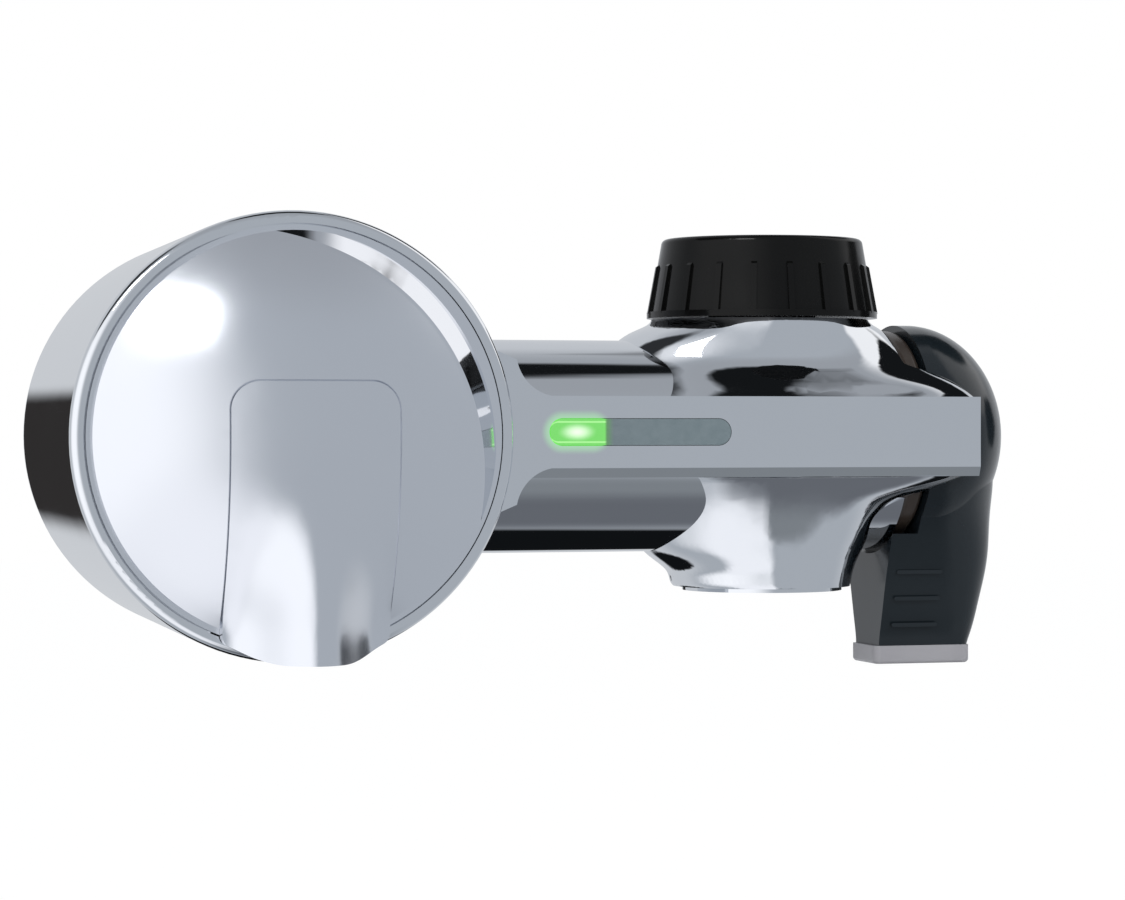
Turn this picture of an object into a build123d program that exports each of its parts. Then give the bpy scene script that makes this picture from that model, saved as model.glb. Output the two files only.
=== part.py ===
"""Faucet mount water filter: an arm with a valve and an indicator, hung under a tap by its nut,
and a drum with a twist-off domed cap that holds the cartridge. Millimetres. X runs along the arm
away from the drum, Y points to the back, Z up. The origin is the tap's seat on the nut's axis."""

import os
from math import cos, exp, log, pi, radians, sin, sqrt

from build123d import *

os.makedirs("parts", exist_ok=True)

# Clearances
turn_gap = 0.3       # around pieces that turn freely in the open
run_gap = 0.06       # shafts in their bores, on the radius
seat_gap = 0.1       # moulded pieces let into one another

# Mounting nut, on the tap's thread (15/16 inch, 27 to the inch)
thread_r = 11.4
thread_relief = 0.4
thread_lead = 0.6
thread_foot_z = 0.0
nut_top_z = 8.0
nut_height = 13.9
nut_top_r = 17.5
nut_foot_r = 19.7
nut_lip_r = 20.2
nut_lip_height = 1.1
nut_band_height = 4.4
nut_round = 1.0
rib_count = 19
rib_width = 1.0
rib_proud = 0.55
nut_floor = 1.3
nut_floor_z = nut_top_z - nut_height

# Inlet stem, its washer and its screen
washer_thickness = 2.4
washer_hole_r = 6.9
stem_bore_r = 5.6
stem_tube_r = 9.4
stem_foot_z = -14.0
screen_thickness = 0.7
screen_pocket_r = 7.9
screen_hole_r = 0.55

# Arm and its shell
arm_z = -28.2
arm_r = 18.3
shell_wall = 2.3
arm_end_x = 20.5
end_wall = 2.2

# Flat band on the front of the arm
band_front_y = -23.5
band_back_y = arm_r + 0.7
band_top_z = -19.7
band_foot_z = -31.7
strip_height = 1.6
strip_depth = 0.65
band_end_x = 31.5
band_wall = 1.5
flare_radius = 7.5

# Neck under the nut and outlet bowl below
neck_r = 19.4
neck_front = 16.9
neck_top_z = -6.1
neck_bore_r = 14.4
belt_reach = 28.2
outlet_r = 15.5
outlet_z = arm_z - arm_r - 6.2
bowl_bore_r = 13.0

# Lever and its axis
lever_z = -26.5
hub_r = 19.6
hub_start_x = 24.6
hub_round_x = 27.0
hub_nose_x = 43.5
hub_end_x = 42.4
hub_wall = 2.4
handle_start_x = 19.9
lever_tip_z = -66.6
tip_height = 3.2
tip_start_x = 19.0
tip_end_x = 37.2
tip_width = 11.6
ridge_x = 26.0
ridge_length = 8.6
ridge_step = 4.7
lowest_ridge_z = -59.7
collar_r = hub_r - 1.0
collar_end_x = 24.3

# Valve
valve_bore_r = arm_r - 9.0
valve_wall = 3.2
valve_start_x = -14.0
port_r = 5.0
spool_start_x = -11.5
spool_end_x = 17.8
drive_r = 5.0
drive_end_x = 33.0
drive_square = 7.0

# Drum
drum_x = -89.3
drum_z = -26.4
drum_front_y = -28.0
drum_back_y = 42.5
cartridge_r = 28.5
cap_skirt_r = cartridge_r + 2.9
drum_front_r = cap_skirt_r + 5.1
drum_back_r = drum_front_r - 1.4
drum_back_round = 6.0
drum_rim_round = 1.4
drum_wall = 3.4
drum_floor = 3.2
drum_bore_r = cap_skirt_r + 1.4

# Domed cap and its bayonet
cap_r = cap_skirt_r + 2.7
cap_flange = 3.6
cap_skirt_wall = 2.4
cap_skirt_back_y = -12.6
face_r = cap_skirt_r + 1.8
face_step = 1.0
dome_height = 10.2
dome_wall = 2.4
bevel_r = cap_r + 2.3
bevel_shift = 4.1
bevel_turn = 216.0
lug_count = 3
lug_span = 22.0
lug_proud = 1.9
lug_front_y = -21.2
lug_length = 2.8
lock_turn = 32.0

# Spout panel on the cap
panel_shift = 1.0
panel_half = 13.7
panel_top_z = -17.6
panel_foot_z = drum_z - cap_r - 2.0
panel_side_foot_z = panel_foot_z + 3.2
panel_corner = 4.6
panel_proud = 0.15
panel_depth = 1.1
panel_gap = 0.28
panel_lip = 2.4
mouth_half = 4.2
spout_y = -37.4
spout_r = 2.9
spout_length = 10.0

# Cartridge
cartridge_front_y = -9.5
cartridge_wall = 1.3
spigot_r = 5.6
spigot_bore_r = 3.4
spigot_front_y = -19.5
carbon_r = 23.6
carbon_bore_r = 8.2
core_wall = 0.9
stub_r = 10.1
stub_ring = 1.4
pleat_count = 32
pleat_depth = 2.6

# Indicator and its power
window_x0 = -45.7
window_x1 = -13.8
window_z = -25.7
window_height = 4.6
board_length = 34.0
board_height = 9.0
board_thickness = 1.0
cell_x = -30.0
cell_r = 8.0
cell_thickness = 2.0
door_length = 30.0
door_height = 21.0

# Turbine that counts the water
turbine_x = -33.0
turbine_r = 6.9
turbine_length = 6.0
axle_r = 0.7
chamber_r = 7.6
tube_bore_r = 4.6
tube_wall = 1.7

# Aerator in the outlet
aerator_r = 12.8
aerator_bore_r = 10.0
aerator_top_z = outlet_z + 5.7
aerator_foot_z = outlet_z - 0.7
aerator_hole_r = 0.9


def across(x, y=0.0, z=0.0):
    """A plane that looks along +X: its x runs along +Y and its y along +Z."""
    return Plane(origin=(x, y, z), x_dir=(0, 1, 0), z_dir=(1, 0, 0))


def front_on(y, x=0.0, z=0.0):
    """A plane seen from the front: its x runs along +X, its y along +Z, its normal to the viewer."""
    return Plane(origin=(x, y, z), x_dir=(1, 0, 0), z_dir=(0, -1, 0))


def radial(angle):
    """An upright plane through the nut's axis, turned by an angle in degrees."""
    turned = radians(angle)
    return Plane(origin=(0, 0, 0), x_dir=(cos(turned), sin(turned), 0),
                 z_dir=(sin(turned), -cos(turned), 0))


def profile_about_y(x, z):
    """A plane for profiles turned about an axis along Y: its x is the radius, its y is Y."""
    return Plane(origin=(x, 0, z), x_dir=(1, 0, 0), z_dir=(0, 0, 1))


def profile_about_x(z):
    """A plane for profiles turned about an axis along X: its x is X, its y is the radius."""
    return Plane(origin=(0, 0, z), x_dir=(1, 0, 0), z_dir=(0, -1, 0))


drum_axis = Axis((drum_x, 0, drum_z), (0, 1, 0))
lever_axis = Axis((0, 0, lever_z), (1, 0, 0))


def ring_about_x(z, x0, x1, inner, outer):
    """A plain ring about an axis along X."""
    with BuildPart() as ring:
        with BuildSketch(across(x0, 0, z)):
            Circle(outer)
            if inner > 0:
                Circle(inner, mode=Mode.SUBTRACT)
        extrude(amount=x1 - x0)
    return ring.part


def rod_along(plane, radius, length):
    """A plain rod from a plane along its normal."""
    with BuildPart() as rod:
        with BuildSketch(plane):
            Circle(radius)
        extrude(amount=length)
    return rod.part


def save(builder, name):
    """Label a finished piece and write its file."""
    builder.part.label = name
    export_step(builder.part, f"parts/{name}.step")


# Mounting nut: a cone with upright ribs between a plain band and a lip
band_z = nut_top_z - nut_band_height
lip_z = nut_floor_z + nut_lip_height
with BuildPart() as mounting_nut:
    with BuildSketch(Plane.XZ):
        with BuildLine():
            Polyline(
                (stem_tube_r + turn_gap, nut_floor_z),
                (nut_lip_r, nut_floor_z),
                (nut_lip_r, lip_z),
                (nut_foot_r, lip_z),
                (nut_top_r, nut_top_z),
                (thread_r, nut_top_z),
                (thread_r, thread_foot_z),
                (thread_r + thread_relief, thread_foot_z),
                (thread_r + thread_relief, nut_floor_z + nut_floor),
                (stem_tube_r + turn_gap, nut_floor_z + nut_floor),
                close=True,
            )
        make_face()
    revolve(axis=Axis.Z)
    crown = mounting_nut.edges().filter_by(GeomType.CIRCLE).group_by(Axis.Z)[-1]
    fillet(crown.sort_by(SortBy.RADIUS)[-1], nut_round)
    chamfer(mounting_nut.edges().filter_by(GeomType.CIRCLE).group_by(Axis.Z)[-1]
            .sort_by(SortBy.RADIUS)[0], thread_lead)
    slope = (nut_foot_r - nut_top_r) / (nut_top_z - lip_z)
    band_r = nut_foot_r - slope * (band_z - lip_z)
    for turn in range(rib_count):
        with BuildSketch(radial(turn * 360 / rib_count)):
            with BuildLine():
                Polyline(
                    (nut_foot_r - 1, lip_z - 0.3),
                    (nut_foot_r + rib_proud, lip_z - 0.3),
                    (nut_foot_r + rib_proud, lip_z),
                    (band_r + rib_proud, band_z - rib_proud),
                    (band_r - 0.2, band_z),
                    (band_r - 1, band_z),
                    close=True,
                )
            make_face()
        extrude(amount=rib_width / 2, both=True)
save(mounting_nut, "mounting_nut")

# Inlet stem: a flanged tube that traps the nut and seats in the neck
flange_top_z = -washer_thickness
flange_foot_z = nut_floor_z + nut_floor
with BuildPart() as inlet_stem:
    with BuildSketch(Plane.XZ):
        with BuildLine():
            Polyline(
                (stem_bore_r, stem_foot_z),
                (stem_tube_r, stem_foot_z),
                (stem_tube_r, flange_foot_z),
                (thread_r - turn_gap, flange_foot_z),
                (thread_r - turn_gap, flange_top_z),
                (screen_pocket_r, flange_top_z),
                (screen_pocket_r, flange_top_z - screen_thickness),
                (stem_bore_r, flange_top_z - screen_thickness),
                close=True,
            )
        make_face()
    revolve(axis=Axis.Z)
save(inlet_stem, "inlet_stem")

with BuildPart() as inlet_washer:
    with BuildSketch(Plane.XY.offset(flange_top_z)):
        Circle(thread_r - turn_gap)
        Circle(washer_hole_r, mode=Mode.SUBTRACT)
    extrude(amount=washer_thickness)
save(inlet_washer, "inlet_washer")

with BuildPart() as inlet_screen:
    with BuildSketch(Plane.XY.offset(flange_top_z - screen_thickness)):
        Circle(screen_pocket_r - seat_gap)
        Circle(screen_hole_r, mode=Mode.SUBTRACT)
        for ring, count in ((2.2, 6), (4.4, 12)):
            with PolarLocations(ring, count):
                Circle(screen_hole_r, mode=Mode.SUBTRACT)
    extrude(amount=screen_thickness)
save(inlet_screen, "inlet_screen")


# Body: round arm, flat band, a bell up to the neck and a bowl down to the outlet
def quarter(middle, start, end, corner):
    """A quarter of a rounded outline. A corner of 2 is an ellipse, a larger one is squarer."""
    points = []
    for step in range(7):
        along, aside = cos(pi * step / 12), sin(pi * step / 12)
        size = (along ** corner + aside ** corner) ** (1 / corner)
        points.append(middle + start * (along / size) + end * (aside / size))
    return Edge.make_spline(points, tangents=(end, start * -1),
                            parameters=[step / 6 for step in range(7)])


def skirt_section(z, right, left, front, back, right_corner, left_corner):
    """One level of the bell or the bowl: four quarters between its reaches to the four sides."""
    reaches = [Vector(right, 0), Vector(0, back), Vector(-left, 0), Vector(0, -front)]
    corners = (right_corner, left_corner, left_corner, right_corner)
    outline = [quarter(Vector(0, 0), reaches[side], reaches[(side + 1) % 4], corner)
               for side, corner in enumerate(corners)]
    return Face(Wire(outline)).moved(Location((0, 0, z)))


band_depth = -band_front_y
ledge = 0.06
belt_foot_z = band_foot_z - strip_height
belt_start_x = -belt_reach
strip_y = band_front_y + strip_depth
drum_side_x = drum_x + drum_front_r
flare_x = drum_side_x + 7.5
with BuildPart() as bell:
    loft(sections=[
        skirt_section(neck_top_z, neck_r - 0.5, neck_r, neck_front, neck_r, 2, 2),
        skirt_section(neck_top_z - 1.7, neck_r + 2.0, neck_r + 2.4, neck_front, 18.4, 2, 2),
        skirt_section(neck_top_z - 3.7, neck_r + 4.2, neck_r + 6.1, neck_front, 17.8, 2.2, 2),
        skirt_section(band_top_z + 7.7, band_end_x - 5.6, 27.5, neck_front + 0.2, 17.4, 2.6, 2),
        skirt_section(band_top_z + 5.7, band_end_x - 3.1, 28.4, band_depth - 5.6, 17.4, 3.4, 2),
        skirt_section(band_top_z + 3.2, band_end_x - 1.3, 29.2, band_depth - 3.2, 17.8, 6, 2),
        skirt_section(band_top_z + 1.4, band_end_x - 0.5, 30.0, band_depth - 1.4, 18.4, 10, 2),
        skirt_section(band_top_z, band_end_x - ledge, 30.8, band_depth - ledge,
                      band_back_y - ledge, 16, 2),
    ])

with BuildPart() as bowl:
    loft(sections=[
        skirt_section(belt_foot_z, band_end_x - 0.6, belt_reach, band_depth - strip_depth - ledge,
                      band_back_y - strip_depth - ledge, 16, 2),
        skirt_section(belt_foot_z - 1.2, band_end_x - 3.2, 27.6, band_depth - 1.8, 18.0, 9, 2),
        skirt_section(belt_foot_z - 2.7, band_end_x - 4.7, 26.8, band_depth - 2.8, 17.6, 4.5, 2),
        skirt_section(belt_foot_z - 5.0, band_end_x - 8.3, 25.4, 19.35, 17.2, 2.8, 2),
        skirt_section(outlet_z + 11.6, outlet_r + 5.1, 24.0, 18.0, 16.8, 2.3, 2),
        skirt_section(outlet_z + 8.1, outlet_r + 3.1, 22.4, 16.7, 16.4, 2.1, 2),
        skirt_section(outlet_z + 6.0, outlet_r + 2.2, 20.9, 16.2, 16.1, 2, 2),
        skirt_section(outlet_z + 4.2, outlet_r + 1.3, 18.6, 15.8, 15.8, 2, 2),
        skirt_section(outlet_z + 2.3, outlet_r + 0.6, 16.6, 15.6, 15.6, 2, 2),
        skirt_section(outlet_z, outlet_r, outlet_r, outlet_r, outlet_r, 2, 2),
    ])


def drum_cone(gap):
    """The drum's tapered side with a gap around it, longer than the drum."""
    slope = (drum_front_r - drum_back_r) / (drum_back_y - drum_back_round - drum_front_y)
    with BuildPart() as cone:
        with BuildSketch(profile_about_y(drum_x, drum_z)):
            with BuildLine():
                Polyline(
                    (0, -60), (drum_front_r + gap + slope * (60 + drum_front_y), -60),
                    (drum_front_r + gap - slope * (60 - drum_front_y), 60), (0, 60), close=True)
            make_face()
        revolve(axis=drum_axis)
    return cone.part


arm_start_x = drum_side_x - 10
with BuildPart() as body_outside:
    with BuildSketch(across(arm_start_x, 0, arm_z)):
        Circle(arm_r)
    extrude(amount=arm_end_x - arm_start_x)
    with BuildSketch(front_on(0)):
        with BuildLine():
            left = drum_side_x - 8
            rise = 6.0
            Polyline((band_end_x, band_foot_z), (band_end_x, band_top_z), (flare_x, band_top_z))
            RadiusArc((flare_x, band_top_z), (flare_x - rise, band_top_z + rise), flare_radius)
            Polyline((flare_x - rise, band_top_z + rise), (left, band_top_z + rise + 4),
                     (left, band_foot_z - rise - 4), (flare_x - rise, band_foot_z - rise))
            RadiusArc((flare_x - rise, band_foot_z - rise), (flare_x, band_foot_z), flare_radius)
            Line((flare_x, band_foot_z), (band_end_x, band_foot_z))
        make_face()
    extrude(amount=band_depth)
    with BuildSketch(across(belt_start_x)):
        with BuildLine():
            Polyline(
                (band_front_y, band_top_z),
                (band_back_y, band_top_z),
                (band_back_y, band_foot_z),
                (band_back_y - strip_depth, belt_foot_z),
                (strip_y, belt_foot_z),
                (band_front_y, band_foot_z),
                close=True,
            )
        make_face()
    extrude(amount=band_end_x - belt_start_x)
    with BuildSketch(across(flare_x - 3.6)):
        with BuildLine():
            Polyline(
                (band_front_y, band_foot_z),
                (0, band_foot_z),
                (0, belt_foot_z),
                (strip_y, belt_foot_z),
                close=True,
            )
        make_face()
    extrude(amount=belt_start_x - flare_x + 3.6)
    add(bell.part)
    add(bowl.part)
    # The lever's pocket: open behind, with the band's end left in front as a cheek
    add(ring_about_x(lever_z, arm_end_x, band_end_x + 5, 0, hub_r + 0.5), mode=Mode.SUBTRACT)
    with BuildSketch(across(arm_end_x, 2 * hub_r, lever_z)):
        Rectangle(4 * hub_r, 5 * hub_r)
    extrude(amount=2 * hub_r, mode=Mode.SUBTRACT)
    add(drum_cone(seat_gap), mode=Mode.SUBTRACT)

arm_bore_r = arm_r - shell_wall
window_mid_x = (window_x0 + window_x1) / 2
door_screw_x = cell_x + 12.0
door_post_y = arm_bore_r - 4.0
drum_screw_y = 9.6
pocket_x0 = window_x0 - 1.5
pocket_x1 = pocket_x0 + board_length + 2.2
with BuildPart() as body_shell:
    add(body_outside.part)
    # Inside of the arm, the neck, the bowl and the band
    add(ring_about_x(arm_z, drum_x, arm_end_x - end_wall, 0, arm_bore_r), mode=Mode.SUBTRACT)
    add(rod_along(Plane.XY.offset(arm_z), neck_bore_r, neck_top_z - shell_wall - arm_z),
        mode=Mode.SUBTRACT)
    add(rod_along(Plane.XY.offset(outlet_z - 1), bowl_bore_r, arm_z - outlet_z + 1),
        mode=Mode.SUBTRACT)
    add(rod_along(Plane.XY.offset(arm_z), stem_tube_r + seat_gap / 2, 30), mode=Mode.SUBTRACT)
    add(ring_about_x(lever_z, arm_end_x - end_wall - 1, arm_end_x + 5, 0,
                     valve_bore_r + seat_gap / 2), mode=Mode.SUBTRACT)
    with BuildSketch(front_on(0, (pocket_x0 + pocket_x1) / 2, window_z)):
        Rectangle(pocket_x1 - pocket_x0, board_height + 0.6)
    extrude(amount=band_depth - band_wall, mode=Mode.SUBTRACT)
    with BuildSketch(front_on(0, window_mid_x, window_z)):
        SlotOverall(window_x1 - window_x0, window_height)
    extrude(amount=band_depth + 1, mode=Mode.SUBTRACT)
    with BuildSketch(front_on(band_back_y + 1, cell_x, arm_z)):
        RectangleRounded(door_length, door_height, 3.0)
    extrude(amount=band_back_y + 1 - 8, mode=Mode.SUBTRACT)
    # Bosses for the screws that hold the drum, a little short of its side
    boss_end_x = drum_side_x + 7.3
    with BuildPart(mode=Mode.PRIVATE) as bosses:
        for side in (-1, 1):
            with BuildSketch(across(drum_side_x - 6, side * drum_screw_y, arm_z)):
                Circle(3.2)
                with Locations((side * (arm_bore_r + 1 - drum_screw_y) / 2, 0)):
                    Rectangle(arm_bore_r + 1 - drum_screw_y, 3.0)
            extrude(amount=boss_end_x - drum_side_x + 6)
        add(drum_cone(seat_gap + 0.05), mode=Mode.SUBTRACT)
    add(bosses.part)
    for side in (-1, 1):
        add(rod_along(across(drum_side_x - 6, side * drum_screw_y, arm_z), 1.6, 12.4),
            mode=Mode.SUBTRACT)
    # Bar and post for the battery cover's screw
    with BuildSketch(front_on(door_post_y, door_screw_x, arm_z)):
        Rectangle(5, 2 * arm_bore_r - 6.6)
    extrude(amount=2.4)
    add(rod_along(front_on(arm_bore_r - 0.4, door_screw_x, arm_z), 2.4, arm_bore_r - door_post_y))
    add(rod_along(front_on(arm_bore_r, door_screw_x, arm_z), 1.2, 7.0), mode=Mode.SUBTRACT)
save(body_shell, "body_shell")

# Battery cover: a piece of the body's own outside, let into the shell, with one screw
head_r = 2.3
head_depth = 1.6
with BuildPart() as battery_cover:
    add(body_outside.part)
    with BuildSketch(front_on(band_back_y + 1, cell_x, arm_z)):
        RectangleRounded(door_length - 2 * seat_gap, door_height - 2 * seat_gap, 3.0 - seat_gap)
    extrude(amount=band_back_y, mode=Mode.INTERSECT)
    add(ring_about_x(arm_z, cell_x - door_length, cell_x + door_length, 0, arm_bore_r),
        mode=Mode.SUBTRACT)
    add(rod_along(front_on(band_back_y + 1, door_screw_x, arm_z), 1.3, 10), mode=Mode.SUBTRACT)
    add(rod_along(front_on(band_back_y + 1, door_screw_x, arm_z), head_r + 0.2,
                  band_back_y + 1 - arm_r + head_depth), mode=Mode.SUBTRACT)
save(battery_cover, "battery_cover")

with BuildPart() as battery_screw:
    head_y = arm_r - 0.2
    add(rod_along(front_on(head_y, door_screw_x, arm_z), head_r, head_depth - 0.2))
    add(rod_along(front_on(head_y - 1.0, door_screw_x, arm_z), 1.15, 6.8))
    with BuildSketch(front_on(head_y, door_screw_x, arm_z)):
        Rectangle(3.4, 0.7)
        Rectangle(0.7, 3.4)
    extrude(amount=0.8, mode=Mode.SUBTRACT)
save(battery_screw, "battery_screw")

cell_y = arm_bore_r - 5.1
with BuildPart() as cell_tray:
    with BuildSketch(front_on(cell_y + 1.6, cell_x, arm_z)):
        Circle(cell_r + 1.2)
        Circle(cell_r + 0.2, mode=Mode.SUBTRACT)
    extrude(amount=1.6 + 1.0)
    with BuildSketch(front_on(cell_y, cell_x, arm_z)):
        Circle(cell_r + 1.2)
    extrude(amount=1.0)
save(cell_tray, "cell_tray")

with BuildPart() as coin_cell:
    with BuildSketch(front_on(cell_y + cell_thickness, cell_x, arm_z)):
        Circle(cell_r)
    extrude(amount=cell_thickness)
    chamfer(coin_cell.edges().group_by(Axis.Y)[-1], 0.3)
save(coin_cell, "coin_cell")

# Indicator: lens in the band's window, three lamps on a board behind it
with BuildPart() as indicator_lens:
    with BuildSketch(front_on(band_front_y + band_wall, window_mid_x, window_z)):
        SlotOverall(window_x1 - window_x0 - 2 * seat_gap, window_height - 2 * seat_gap)
    extrude(amount=band_wall + 0.05)
    with BuildSketch(front_on(band_front_y + band_wall + 1.0, window_mid_x, window_z)):
        SlotOverall(window_x1 - window_x0 + 2, window_height + 2)
    extrude(amount=1.0)
save(indicator_lens, "indicator_lens")

board_front_y = band_front_y + band_wall + 3.0
with BuildPart() as circuit_board:
    with BuildSketch(front_on(board_front_y + board_thickness, pocket_x1 - 0.3 - board_length / 2, window_z)):
        Rectangle(board_length, board_height)
    extrude(amount=board_thickness)
save(circuit_board, "circuit_board")

with BuildPart() as indicator_lamps:
    lamp_step = (window_x1 - window_x0) / 3
    for place in range(3):
        with BuildSketch(front_on(board_front_y, window_x0 + lamp_step * (place + 0.5), window_z)):
            Rectangle(3.2, 2.8)
        extrude(amount=1.6)
save(indicator_lamps, "indicator_lamps")

# Valve body: a cross of tubes with the spool's bore along X
valve_r = valve_bore_r + valve_wall
tube_r = tube_bore_r + tube_wall
chamber_end_x = turbine_x + turbine_length / 2 + 1.6
valve_inside_end_x = arm_end_x - end_wall
with BuildPart() as valve_body:
    add(ring_about_x(lever_z, valve_start_x, valve_inside_end_x, 0, valve_r))
    with BuildSketch(Plane.XY.offset(lever_z)):
        Circle(stem_tube_r + 1.4)
    extrude(amount=stem_foot_z - lever_z)
    with BuildSketch(Plane.XY.offset(lever_z)):
        Circle(port_r + 2.6)
    extrude(amount=aerator_top_z + 3.0 - lever_z)
    with BuildSketch(Plane.XY.offset(aerator_top_z + 3.0)):
        Circle(bowl_bore_r - seat_gap)
    extrude(amount=-2.2)
    with BuildSketch(across(chamber_end_x, 0, arm_z)):
        Circle(chamber_r + tube_wall)
    extrude(amount=valve_start_x + 2 - chamber_end_x)
    add(ring_about_x(lever_z, valve_start_x + 2.0, valve_inside_end_x + 1, 0, valve_bore_r),
        mode=Mode.SUBTRACT)
    with BuildSketch(Plane.XY.offset(lever_z)):
        Circle(port_r)
    extrude(amount=20, mode=Mode.SUBTRACT)
    with BuildSketch(Plane.XY.offset(lever_z)):
        Circle(port_r)
    extrude(amount=-30, mode=Mode.SUBTRACT)
    with BuildSketch(across(valve_start_x + 4, 0, arm_z)):
        Circle(tube_bore_r)
    extrude(amount=-30, mode=Mode.SUBTRACT)
save(valve_body, "valve_body")

# Tube from the valve to the drum, with the turbine's chamber
tube_end_x = drum_x + drum_front_r - drum_wall - 0.6
chamber_start_x = turbine_x - turbine_length / 2 - 1.6
with BuildPart() as drum_tube:
    with BuildSketch(across(chamber_start_x - 1.6, 0, arm_z)):
        Circle(chamber_r + tube_wall)
    extrude(amount=chamber_end_x - chamber_start_x + 1.6)
    with BuildSketch(across(tube_end_x, 0, arm_z)):
        Circle(tube_r)
    extrude(amount=chamber_start_x - tube_end_x)
    add(ring_about_x(arm_z, chamber_start_x, chamber_end_x, 0, chamber_r), mode=Mode.SUBTRACT)
    add(ring_about_x(arm_z, tube_end_x, chamber_start_x, 0, tube_bore_r), mode=Mode.SUBTRACT)
    # Spider that holds the axle's left end
    with BuildSketch(across(chamber_start_x - 1.6, 0, arm_z)):
        Rectangle(1.2, 2 * tube_bore_r + 1)
        Rectangle(2 * tube_bore_r + 1, 1.2)
        Circle(1.8)
        Circle(axle_r, mode=Mode.SUBTRACT)
    extrude(amount=1.6)
save(drum_tube, "drum_tube")

with BuildPart() as axle_spider:
    with BuildSketch(across(chamber_end_x - 1.2, 0, arm_z)):
        Circle(chamber_r)
        Circle(chamber_r - 1.0, mode=Mode.SUBTRACT)
        Rectangle(1.2, 2 * chamber_r - 1)
        Rectangle(2 * chamber_r - 1, 1.2)
        Circle(1.8)
        Circle(axle_r, mode=Mode.SUBTRACT)
    extrude(amount=1.2)
save(axle_spider, "axle_spider")

with BuildPart() as turbine_axle:
    with BuildSketch(across(chamber_start_x - 1.6, 0, arm_z)):
        Circle(axle_r)
    extrude(amount=chamber_end_x - chamber_start_x + 1.6)
save(turbine_axle, "turbine_axle")

with BuildPart() as flow_turbine:
    with BuildSketch(across(turbine_x - turbine_length / 2 + 0.2, 0, arm_z)):
        Circle(2.2)
        Circle(axle_r + run_gap, mode=Mode.SUBTRACT)
    extrude(amount=turbine_length - 0.4)
    blade_tilt = 35
    for blade in range(6):
        along = radians(60 * blade)
        hand = Plane(origin=(turbine_x, 0, arm_z), x_dir=(0, -sin(along), cos(along)),
                     z_dir=(0, cos(along), sin(along)))
        with BuildSketch(hand.offset(1.9)):
            Rectangle(1.0, turbine_length - 1.0, rotation=blade_tilt)
        extrude(amount=turbine_r - 1.9)
save(flow_turbine, "flow_turbine")

# Valve spool: a hollow plug that joins the inlet to the drum, and a square drive for the lever
seal_r = 0.9
groove_r = valve_bore_r - 2 * seal_r - seat_gap
seal_places = (spool_start_x + 2.6, spool_end_x - 3.4)
with BuildPart() as valve_spool:
    add(ring_about_x(lever_z, spool_start_x, spool_end_x, 0, valve_bore_r - run_gap))
    add(ring_about_x(lever_z, spool_end_x, arm_end_x + 6, 0, drive_r))
    with BuildSketch(across(arm_end_x + 6, 0, lever_z)):
        Rectangle(drive_square, drive_square)
    extrude(amount=drive_end_x - arm_end_x - 6)
    add(ring_about_x(lever_z, spool_start_x, port_r, 0, port_r), mode=Mode.SUBTRACT)
    with BuildSketch(Plane.XY.offset(lever_z)):
        Circle(port_r)
    extrude(amount=valve_bore_r, mode=Mode.SUBTRACT)
    for place in seal_places:
        add(ring_about_x(lever_z, place - 1.1, place + 1.1, groove_r, valve_bore_r + 1),
            mode=Mode.SUBTRACT)
    with BuildSketch(across(drive_end_x - 9, 0, lever_z)):
        Circle(1.5)
    extrude(amount=9, mode=Mode.SUBTRACT)
save(valve_spool, "valve_spool")

with BuildPart() as spool_seals:
    for place in seal_places:
        with BuildSketch(profile_about_x(lever_z)):
            with Locations((place, valve_bore_r - 0.02 - seal_r)):
                Circle(seal_r)
        revolve(axis=lever_axis)
save(spool_seals, "spool_seals")

with BuildPart() as valve_collar:
    add(ring_about_x(lever_z, arm_end_x, collar_end_x, drive_r + run_gap, collar_r))
    add(ring_about_x(lever_z, spool_end_x + 0.3, arm_end_x, drive_r + run_gap, valve_bore_r - 0.05))
    edge = valve_collar.edges().filter_by(GeomType.CIRCLE).sort_by(SortBy.RADIUS)[-2:]
    fillet(edge, 1.2)
save(valve_collar, "valve_collar")

# Lever: a domed hub with a handle that narrows to its tip
tip_z = lever_tip_z + tip_height
hub_half = hub_nose_x - hub_round_x
handle_drop = lever_z - tip_z
tip_half = tip_width / 2 - 0.3


def handle_section(share, half, round_x, nose_x, corner):
    """One level of the handle, at a share of the way down: straight sides and a rounded nose."""
    middle, nose, side = Vector(round_x, 0), Vector(nose_x - round_x, 0), Vector(0, half)
    corners = [(round_x, half), (handle_start_x, half), (handle_start_x, -half), (round_x, -half)]
    outline = [quarter(middle, side * -1, nose, corner), quarter(middle, nose, side, corner)]
    outline += [Edge.make_line(*ends) for ends in zip(corners[:-1], corners[1:])]
    return Face(Wire(outline)).moved(Location((0, 0, lever_z - share * handle_drop)))


with BuildPart() as handle:
    loft(sections=[
        handle_section(0.12, 0.95 * hub_r, hub_round_x, hub_end_x - 0.2, 2),
        handle_section(0.21, 0.898 * hub_r, hub_round_x, hub_end_x - 0.2, 2),
        handle_section(0.3, 0.796 * hub_r, hub_round_x + 0.4, hub_end_x - 0.1, 2),
        handle_section(0.4, 0.673 * hub_r, hub_round_x + 1.2, hub_end_x - 0.1, 2),
        handle_section(0.5, 0.577 * hub_r, hub_round_x + 2.2, hub_end_x - 0.2, 2.1),
        handle_section(0.6, 0.5 * hub_r, hub_round_x + 3.3, hub_end_x - 0.5, 2.2),
        handle_section(0.72, 0.423 * hub_r, hub_round_x + 4.5, tip_end_x + 3.8, 2.3),
        handle_section(0.87, 0.342 * hub_r, hub_round_x + 5.5, tip_end_x + 2.3, 2.6),
        handle_section(1, tip_half, hub_round_x + 6.5, tip_end_x + 0.6, 3),
    ])

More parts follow.
